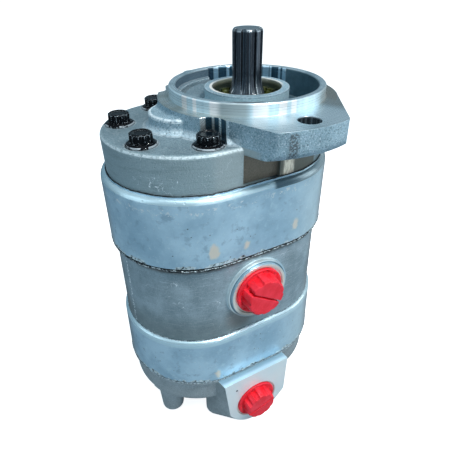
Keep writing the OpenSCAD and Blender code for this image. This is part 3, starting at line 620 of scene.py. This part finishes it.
def rear_material():
    """Rear cover: casting with a milled port face."""
    s = Shader("rear_casting")
    colour, rough, height = cast_skin(s, (0.32, 0.37, 0.39), (0.45, 0.51, 0.54), 0.45)
    face_y = TAIL[0].y
    milled = s.both(s.step(s.ny, -0.9, -0.98), s.step(s.y, face_y + 0.4, face_y + 0.2))
    port_r = s.across(REAR_PORT.x, REAR_PORT.z)
    spot = s.both(s.step(port_r, REAR_SEAT_R, REAR_SEAT_R - 0.4), s.step(s.y, face_y + 3, face_y + 2))
    nick = s.across(REAR_PORT.x - 14.8, REAR_PORT.z + 17.6)
    top = s.both(s.step(s.z, TAIL[1].z - 3, TAIL[1].z - 2), s.step(s.nz, 0.7, 0.9))
    sheen = s.noise(18, 2, seed=6)
    colour = s.mix(milled, colour, s.mix(sheen, (0.78, 0.95, 1.0), (0.98, 1.0, 1.0)))
    colour = s.paint(colour, s.both(milled, s.step(nick, 0.9, 0.5)), (0.05, 0.07, 0.09))
    colour = s.paint(colour, spot, (0.84, 0.85, 0.80))
    ledge = s.mix(s.step(s.y, face_y + 4, face_y + 1), (0.30, 0.46, 0.56), (0.62, 0.80, 0.90))
    colour = s.paint(colour, top, ledge)
    rough = s.level(milled, rough, 0.35)
    height = s.level(milled, height, 0.05)
    worn = s.both(s.rim(0.6), s.math("SUBTRACT", 1, milled))
    colour = s.paint(colour, worn, (0.85, 0.93, 0.98), 0.5)
    return s.finish(colour, s.level(milled, 0.5, 0.35), rough, s.bump(height, 0.18, s.edges(0.5)))


def steel_material():
    """Hardened drive shaft and gears: dark, with lighter stripes, painted glints in the spline run-outs
    and a bright chamfer.
    """
    s = Shader("dark_steel")
    grain = s.noise(0.6, 3, 0.6, stretch=(1, 1, 12), seed=1)
    stripe = s.lines(s.angle(), 5.5, 2)
    tip = s.step(s.z, SHAFT_CHAMFER_Z, SHAFT_CHAMFER_Z + 0.6)
    runout = s.both(s.step(s.radius(), 7.0, 8.4), s.between(s.z, -2, 9, 2))
    colour = s.mix(grain, (0.025, 0.030, 0.040), (0.09, 0.10, 0.12))
    colour = s.paint(colour, s.step(stripe, 0.50, 0.62), (0.16, 0.22, 0.27), 0.55)
    # painted glints in the spline run-outs
    glint = s.step(s.lines(s.angle(), 3.0, 9), 0.60, 0.68)
    colour = s.paint(colour, runout, (0.10, 0.13, 0.15), 0.25)
    colour = s.paint(colour, s.both(runout, glint), (0.95, 0.98, 1.0))
    colour = s.paint(colour, tip, (0.50, 0.56, 0.60), 0.6)
    colour = s.paint(colour, s.rim(0.35), (0.60, 0.68, 0.74), 0.35)
    rough = s.level(grain, 0.18, 0.32)
    return s.finish(colour, 0.9, rough, s.bump(grain, 0.05, s.edges(0.25)))


def black_material():
    """Black oxide screws, with painted highlights on the crowns' near side and the flange rims, and
    rubbed bright edges.
    """
    s = Shader("black_oxide")
    grain = s.noise(0.7, 3, 0.6)
    colour = s.mix(grain, (0.0005, 0.001, 0.002), (0.004, 0.005, 0.007))
    # painted highlight crescents on the screw flanges' rims
    places = SCREWS_MM + [(IDLER_X - x, y) for x, y in SCREWS_MM]
    low, high = SCREW_FLANGE_R - 0.5, SCREW_FLANGE_R + 0.2
    rims = [s.between(s.radius(x, y), low, high, 0.1) for x, y in places]
    flange_glint = s.both(s.either(*rims), s.step(s.noise(3.0, 2, seed=3), 0.44, 0.52))
    # painted highlight on the near side of each crown
    crown_glint = s.both(s.between(s.z, SCREW_TOP - 1.5, SCREW_TOP - 0.5, 0.3), s.rim(0.5))
    crown_glint = s.both(crown_glint, s.step(grain, 0.40, 0.50), s.step(s.ny, -0.15, -0.40))
    # rubbed bright edges
    worn = s.both(s.rim(0.60), s.step(grain, 0.56, 0.62))
    glints_and_wear = s.either(crown_glint, worn, s.math("MULTIPLY", flange_glint, 0.6))
    colour = s.paint(colour, glints_and_wear, (0.88, 0.95, 1.0), 0.95)
    metal = s.level(glints_and_wear, 0.2, 0.9)
    normal = s.bump(grain, 0.02, s.edges(0.3))
    return s.finish(colour, metal, s.level(grain, 0.12, 0.22), normal, Specular_IOR_Level=0.12)


def red_material():
    """Moulded red plastic plugs."""
    s = Shader("red_plastic")
    grain = s.noise(0.9, 3, 0.6)
    cloud = s.noise(6, 3, 0.6)
    colour = s.mix(s.step(cloud, 0.35, 0.65), (0.88, 0.012, 0.030), (1.0, 0.030, 0.060))
    colour = s.paint(colour, s.rim(0.5), (1.0, 0.10, 0.15), 0.2)
    return s.finish(colour, 0.0, s.level(grain, 0.42, 0.54), s.bump(grain, 0.06, s.edges(0.5)))


def gold_material():
    """Yellow zinc plate on the seal case and its ring, with painted white glints."""
    s = Shader("yellow_zinc")
    tint = s.noise(1.1, 3, 0.6)
    streak = s.lines(s.angle(), 14.0, 6)
    colour = s.mix(s.step(streak, 0.35, 0.65), (0.05, 0.06, 0.02), (0.34, 0.36, 0.14))
    # painted white glints
    colour = s.paint(colour, s.step(tint, 0.58, 0.66), (0.92, 0.93, 0.80), 0.8)
    return s.finish(colour, 0.85, 0.3, s.bump(tint, 0.12))


def plain_metal(name, colour, rough):
    """Hidden bearings, plates and dowels."""
    s = Shader(name)
    grain = s.noise(0.8, 3, 0.6, stretch=(1, 1, 6))
    grained = s.mix(grain, tuple(c * 0.8 for c in colour), colour)
    return s.finish(grained, 0.9, s.level(grain, rough, rough + 0.1), s.bump(grain, 0.04))


def rubber_material():
    """Black seals."""
    s = Shader("seal_rubber")
    grain = s.noise(0.5, 2, 0.5)
    colour = s.mix(grain, (0.015, 0.015, 0.016), (0.035, 0.035, 0.036))
    return s.finish(colour, 0.0, 0.6, s.bump(grain, 0.04))


def dress_nodes():
    """Gives every CAD node the material its record slot calls for."""
    looks = {
        "cast_front": cover_material(), "cast_centre": centre_material(), "cast_body": body_material(),
        "cast_rear": rear_material(), "gear_steel": steel_material(),
        "bearing_bronze": plain_metal("bearing_bronze", (0.70, 0.48, 0.25), 0.35),
        "plate_alloy": plain_metal("plate_alloy", (0.72, 0.60, 0.38), 0.30),
        "seal_rubber": rubber_material(), "zinc_gold": gold_material(),
        "dowel_steel": plain_metal("dowel_steel", (0.62, 0.63, 0.65), 0.25),
        "black_screw": black_material(), "red_plastic": red_material(),
    }
    for part in frame["record"]["subparts"]:
        slots = NODES[part["node"]].material_slots
        for slot in slots:
            slot.material = looks[part["material_slot"]]


dress_nodes()


# ---------- casting edges at the joints ----------

def casing_path(radius, steps):
    """Points and outward directions once around a casing's outline, in millimetres."""
    straight = ARC_RIGHT - ARC_LEFT
    arc = math.pi * radius
    whole = 2 * (straight + arc)
    for i in range(steps):
        d = whole * i / steps
        if d < arc:
            a = d / radius - math.pi / 2
            x, y, out = ARC_RIGHT, 0, (math.cos(a), math.sin(a))
        elif d < arc + straight:
            x, y, out = ARC_RIGHT - (d - arc), 0, (0, 1)
        elif d < 2 * arc + straight:
            a = (d - arc - straight) / radius + math.pi / 2
            x, y, out = ARC_LEFT, 0, (math.cos(a), math.sin(a))
        else:
            x, y, out = ARC_LEFT + (d - 2 * arc - straight), 0, (0, -1)
        yield (x + radius * out[0], y + radius * out[1]), out


def edge_bead(name, radius, z, size, wander, slot, material, seed):
    """An uneven bead around a casing joint: a closed tube whose place and thickness wander.

    radius, z, size (its thickness) and wander are in millimetres. seed sets the pattern of its bumps.
    """
    steps, sides = 480, 8
    verts, faces = [], []
    for i, ((x, y), out) in enumerate(casing_path(radius, steps)):
        spot = Vector((x, y, z + seed * 50))
        drift = wander * noise.noise(spot * 0.16)
        shift = 0.5 * wander * noise.noise(spot * 0.35 + Vector((9, 4, 2)))
        for j in range(sides):
            turn = 2 * math.pi * j / sides
            lump = size * (1 + 0.6 * noise.noise(spot * 0.8 + Vector((0, 0, turn))))
            reach = shift + lump * math.cos(turn)
            height = z + drift + lump * math.sin(turn)
            verts.append(((x + reach * out[0]) * MM, (y + reach * out[1]) * MM, height * MM))
            here, ahead = i * sides, (i + 1) % steps * sides
            following = (j + 1) % sides
            faces.append((here + j, ahead + j, ahead + following, here + following))
    mesh = bpy.data.meshes.new(name)
    mesh.from_pydata(verts, [], faces)
    mesh.shade_smooth()
    mesh.materials.append(material)
    bead = bpy.data.objects.new(name, mesh)
    bpy.context.scene.collection.objects.link(bead)
    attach(bead, "housing")


def crumb_material(name, dark, light, share):
    """Broken casting skin and dried oil along a joint."""
    s = Shader(name)
    crumb = s.noise(1.3, 3, 0.7, seed=31)
    colour = s.mix(s.step(crumb, share - 0.06, share + 0.06), dark, light)
    return s.finish(colour, 0.4, 0.45, s.bump(crumb, 0.25))


def build_joint_edges():
    """The line of broken casting skin or dried oil at each joint of the casing."""
    bright = crumb_material("bright_edge", (0.03, 0.035, 0.04), (0.50, 0.60, 0.64), 0.52)
    dark = crumb_material("dark_edge", (0.015, 0.018, 0.02), (0.12, 0.16, 0.18), 0.62)
    soft = crumb_material("soft_edge", (0.16, 0.21, 0.24), (0.45, 0.56, 0.62), 0.5)
    beads = [
        # name, radius, height, thickness, wander, slot, material
        ("cover_joint_edge", CENTRE_R - 0.4, FRONT_TOP + 0.1, 0.30, 0.35, "seal_rubber", dark),
        ("front_body_rim_edge", FRONT_R - 0.30, FRONT_BOTTOM + 0.35, 0.38, 0.5, "cast_body", bright),
        ("centre_joint_edge", CENTRE_R + 1.1, FRONT_BOTTOM - 0.35, 0.75, 0.6, "seal_rubber", dark),
        ("rear_joint_edge", CENTRE_R + 0.05, REAR_TOP + 0.1, 0.28, 0.35, "seal_rubber", soft),
        ("rear_body_rim_edge", REAR_R - 0.05, REAR_BOTTOM + 0.5, 0.30, 0.4, "cast_body", soft),
    ]
    for seed, bead in enumerate(beads, 1):
        edge_bead(*bead, seed)


build_joint_edges()


# ---------- stage, light and camera ----------

def direction(azimuth, elevation):
    """Unit vector from the pump towards a viewer or light at these angles in degrees."""
    a, e = math.radians(azimuth), math.radians(elevation)
    return Vector((math.sin(a) * math.cos(e), -math.cos(a) * math.cos(e), math.sin(e)))


def build_floor():
    """Pale floor. Only the camera sees it pale: reflections see a softer grey, as in a real studio."""
    half = 6.0
    z = cad_box[0][2]
    mesh = bpy.data.meshes.new("floor")
    corners = [(-half, -half, z), (half, -half, z), (half, half, z), (-half, half, z)]
    mesh.from_pydata(corners, [], [(0, 1, 2, 3)])
    floor = bpy.data.objects.new("floor", mesh)
    bpy.context.scene.collection.objects.link(floor)
    s = Shader("floor_paper")
    seen = s.node("ShaderNodeLightPath").outputs["Is Camera Ray"]
    colour = s.mix(seen, (0.30, 0.36, 0.40), (0.93, 0.93, 0.93))
    glow = s.math("MULTIPLY", seen, 0.85)
    s.finish(colour, 0.0, 0.9, Emission_Color=(1, 1, 1), Emission_Strength=glow)
    floor.data.materials.append(s.material)


def build_world():
    """Soft studio surround: paler above, blue-grey at the sides, and plain white to the camera."""
    world = bpy.data.worlds.new("studio")
    bpy.context.scene.world = world
    world.use_nodes = True
    tree = world.node_tree
    back = tree.nodes["Background"]
    coords = tree.nodes.new("ShaderNodeTexCoord")
    split = tree.nodes.new("ShaderNodeSeparateXYZ")
    ramp = tree.nodes.new("ShaderNodeValToRGB")
    tree.links.new(coords.outputs["Generated"], split.inputs[0])
    tree.links.new(split.outputs["Z"], ramp.inputs[0])
    tree.links.new(ramp.outputs[0], back.inputs[0])
    ramp.color_ramp.elements[0].color = (0.24, 0.42, 0.54, 1)
    ramp.color_ramp.elements[1].color = (0.66, 0.87, 1.0, 1)
    back.inputs[1].default_value = 0.5
    pale = tree.nodes.new("ShaderNodeBackground")
    pale.inputs[0].default_value = (1, 1, 1, 1)
    choose = tree.nodes.new("ShaderNodeMixShader")
    path = tree.nodes.new("ShaderNodeLightPath")
    tree.links.new(path.outputs["Is Camera Ray"], choose.inputs[0])
    tree.links.new(back.outputs[0], choose.inputs[1])
    tree.links.new(pale.outputs[0], choose.inputs[2])
    tree.links.new(choose.outputs[0], tree.nodes["World Output"].inputs[0])


def area_light(name, azimuth, elevation, distance, size, power, colour):
    """Rectangular light that faces TARGET from the given angles in degrees and distance in metres."""
    data = bpy.data.lights.new(name, "AREA")
    data.shape = "RECTANGLE"
    data.size, data.size_y = size
    data.energy = power
    data.color = colour
    light = bpy.data.objects.new(name, data)
    bpy.context.scene.collection.objects.link(light)
    towards = direction(azimuth, elevation)
    light.location = TARGET + towards * distance
    light.rotation_euler = towards.to_track_quat("Z", "Y").to_euler()


def build_camera():
    """Camera at the photograph's viewing angle."""
    back = direction(VIEW_AZIMUTH, VIEW_ELEVATION)
    a, roll = math.radians(VIEW_AZIMUTH), math.radians(VIEW_ROLL)
    level_right = Vector((math.cos(a), math.sin(a), 0))
    level_up = back.cross(level_right)
    right = level_right * math.cos(roll) + level_up * math.sin(roll)
    up = level_up * math.cos(roll) - level_right * math.sin(roll)
    data = bpy.data.cameras.new("camera")
    data.sensor_width = 36
    data.lens = VIEW_LENS
    data.clip_start = 0.01
    camera = bpy.data.objects.new("camera", data)
    bpy.context.scene.collection.objects.link(camera)
    turn = Matrix((right, up, back)).transposed().to_4x4()
    camera.matrix_world = Matrix.Translation(TARGET + back * VIEW_DISTANCE) @ turn
    bpy.context.scene.camera = camera


VIEW_AZIMUTH = -28.8
VIEW_ELEVATION = 32.67
VIEW_ROLL = -0.754
VIEW_DISTANCE = 0.2697
VIEW_LENS = 33.65
TARGET = Vector((-0.01126, 0.00549, -0.08385))
LIGHTS = [
    # name, azimuth, elevation, distance, size, power, colour
    ("key", 14, 58, 0.9, (0.22, 0.22), 5.5, (1, 0.98, 0.95)),
    ("left_fill", -95, 25, 0.8, (0.5, 0.7), 0.8, (0.8, 0.92, 1)),
    ("front_fill", 5, 15, 0.9, (0.7, 0.5), 0.8, (0.92, 0.97, 1)),
    ("right_fill", 62, 12, 0.8, (0.4, 0.8), 1.4, (0.92, 0.98, 1)),
    ("top_soft", -20, 80, 0.9, (0.6, 0.6), 1.2, (0.9, 0.97, 1)),
]

build_floor()
build_world()
for light in LIGHTS:
    area_light(*light)
build_camera()
bpy.context.scene.view_settings.view_transform = "Standard"
